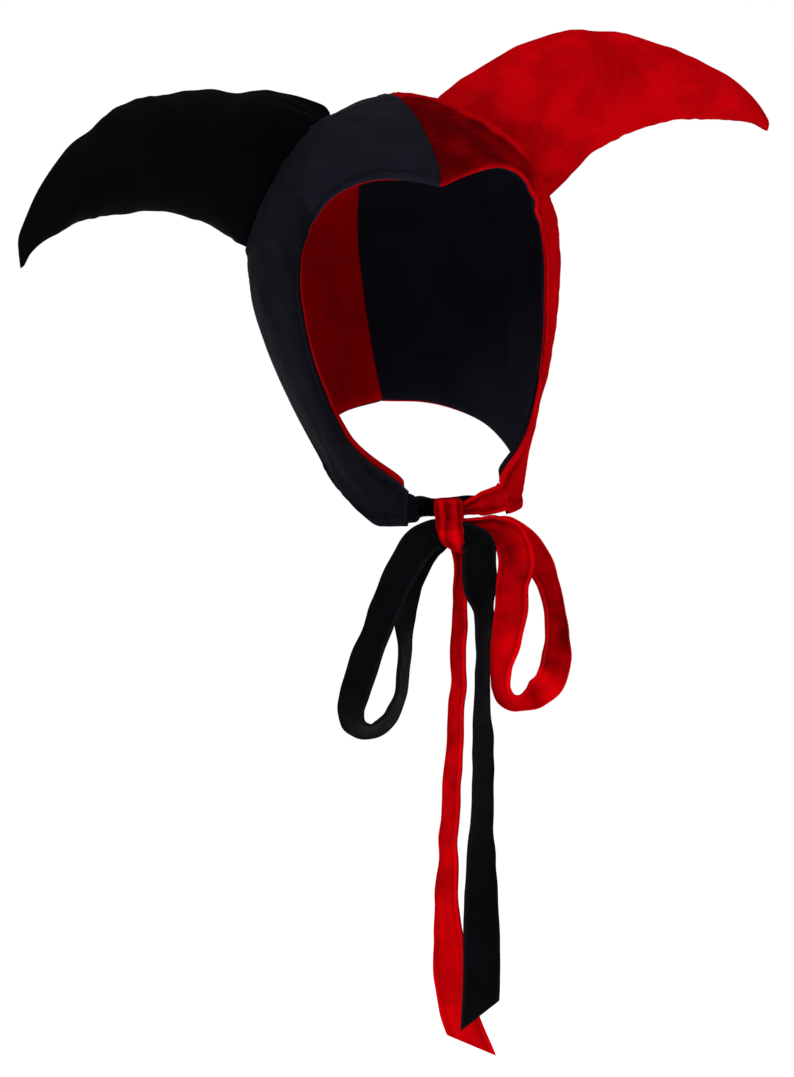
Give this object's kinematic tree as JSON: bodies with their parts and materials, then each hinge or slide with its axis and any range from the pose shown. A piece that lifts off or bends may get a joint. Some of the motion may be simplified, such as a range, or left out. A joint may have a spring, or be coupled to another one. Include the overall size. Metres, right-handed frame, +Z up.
{
  "type": "jester bonnet with chin ties",
  "caption": "Two-colour velvet jester bonnet that frames the face, with stuffed curved horns at the sides and ribbon ties knotted in a bow under the chin.",
  "frame": {"origin": "crown of the hollow, on the lining, where the top of the wearer's head carries the bonnet", "axes": "+Z up, +X to the viewer's right, -Y out of the face opening towards the viewer; the bonnet leans a few degrees about Y as in the picture, its ties hang along -Z"},
  "size_m": [0.4283, 0.1821, 0.5646],
  "materials": {
    "black_velvet": "matte short-pile velvet",
    "red_velvet": "short-pile velvet with a soft satin sheen"
  },
  "bodies": {
    "root": {"hood_panel_black": "black_velvet", "hood_panel_red": "red_velvet", "lining_red": "red_velvet", "lining_black": "black_velvet", "horn_black": "black_velvet", "horn_red": "red_velvet", "chin_tie_black": "black_velvet", "chin_tie_red": "red_velvet", "bow_loop_black": "black_velvet", "bow_loop_red": "red_velvet", "bow_tail_black": "black_velvet", "bow_tail_red": "red_velvet", "bow_knot_red": "red_velvet"}
  },
  "joints": []
}
